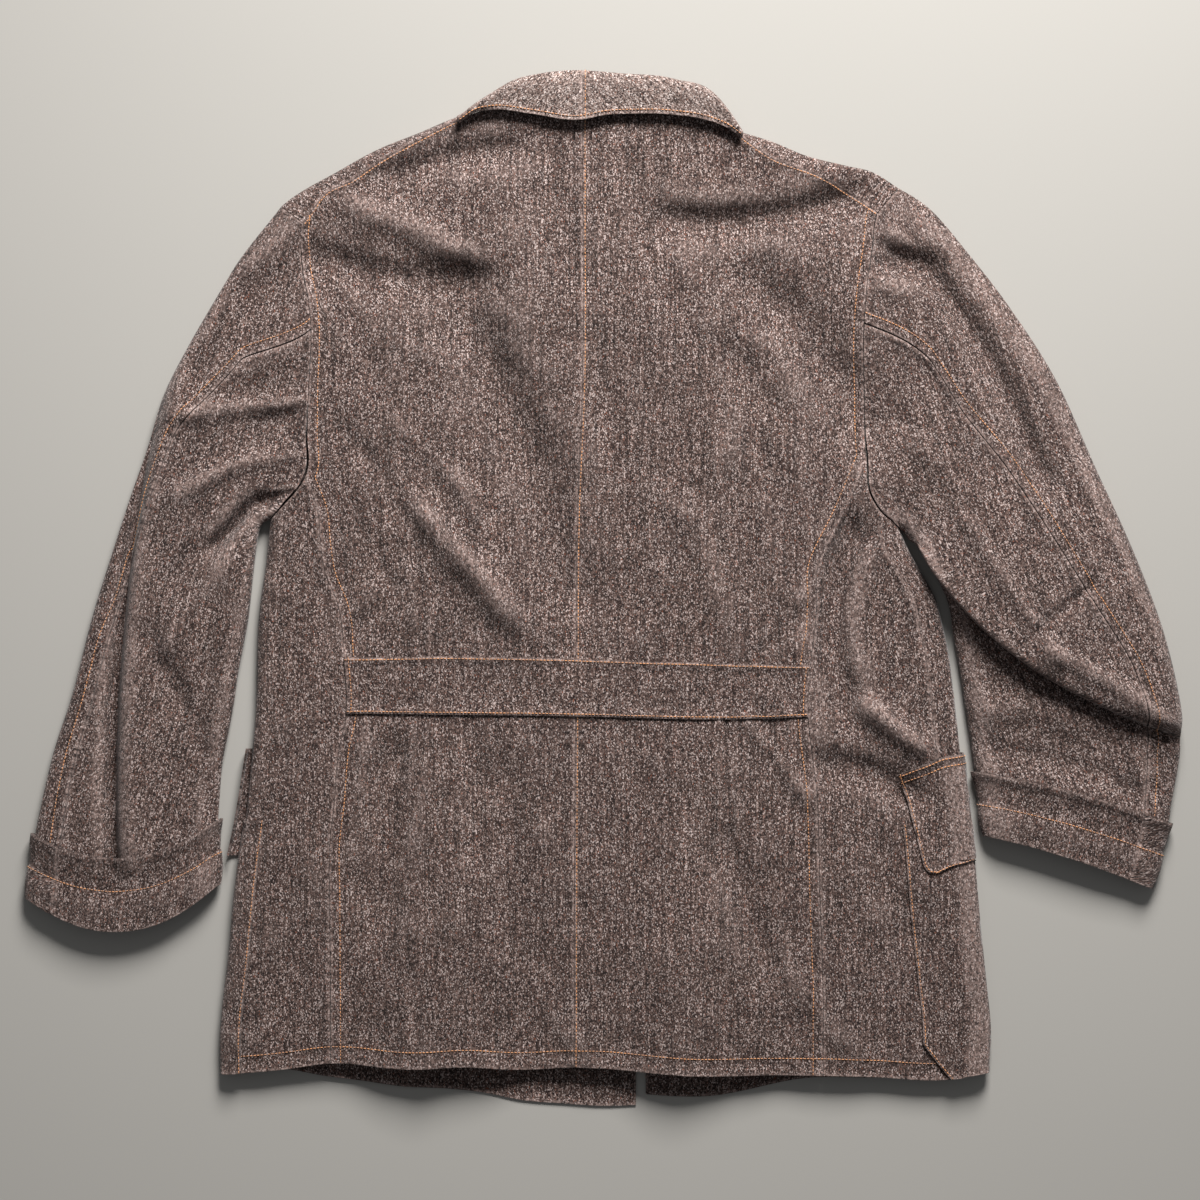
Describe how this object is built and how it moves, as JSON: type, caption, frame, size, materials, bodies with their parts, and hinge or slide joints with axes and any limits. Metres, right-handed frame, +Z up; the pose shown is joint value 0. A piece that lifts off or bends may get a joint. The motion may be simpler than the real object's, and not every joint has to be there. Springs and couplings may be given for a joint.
{
  "type": "work jacket",
  "caption": "Unbuttoned work jacket in heavy flecked twill, laid flat face down, with a turned collar, a half belt across the back, flap pockets and turned-back cuffs.",
  "frame": {"origin": "centre of the jacket's box in plan, on the surface it lies on", "axes": "+X towards the wearer's right sleeve, +Y towards the collar, +Z up out of the back"},
  "size_m": [0.8792, 0.786, 0.0283],
  "materials": {
    "twill": "matte salt-and-pepper covert twill with contrast topstitching",
    "twill_bias": "the same twill cut on the bias",
    "twill_lined": "the same twill, turned back double"
  },
  "bodies": {
    "root": {"back_left": "twill", "back_right": "twill", "side_left": "twill", "side_right": "twill", "front_left": "twill", "front_right": "twill", "collar_left": "twill_bias", "collar_right": "twill_bias", "top_sleeve_left": "twill", "top_sleeve_right": "twill", "under_sleeve_left": "twill", "under_sleeve_right": "twill", "cuff_left": "twill_lined", "cuff_right": "twill_lined", "back_belt": "twill", "pocket_left": "twill", "pocket_right": "twill", "flap_left": "twill", "flap_right": "twill"}
  },
  "joints": []
}
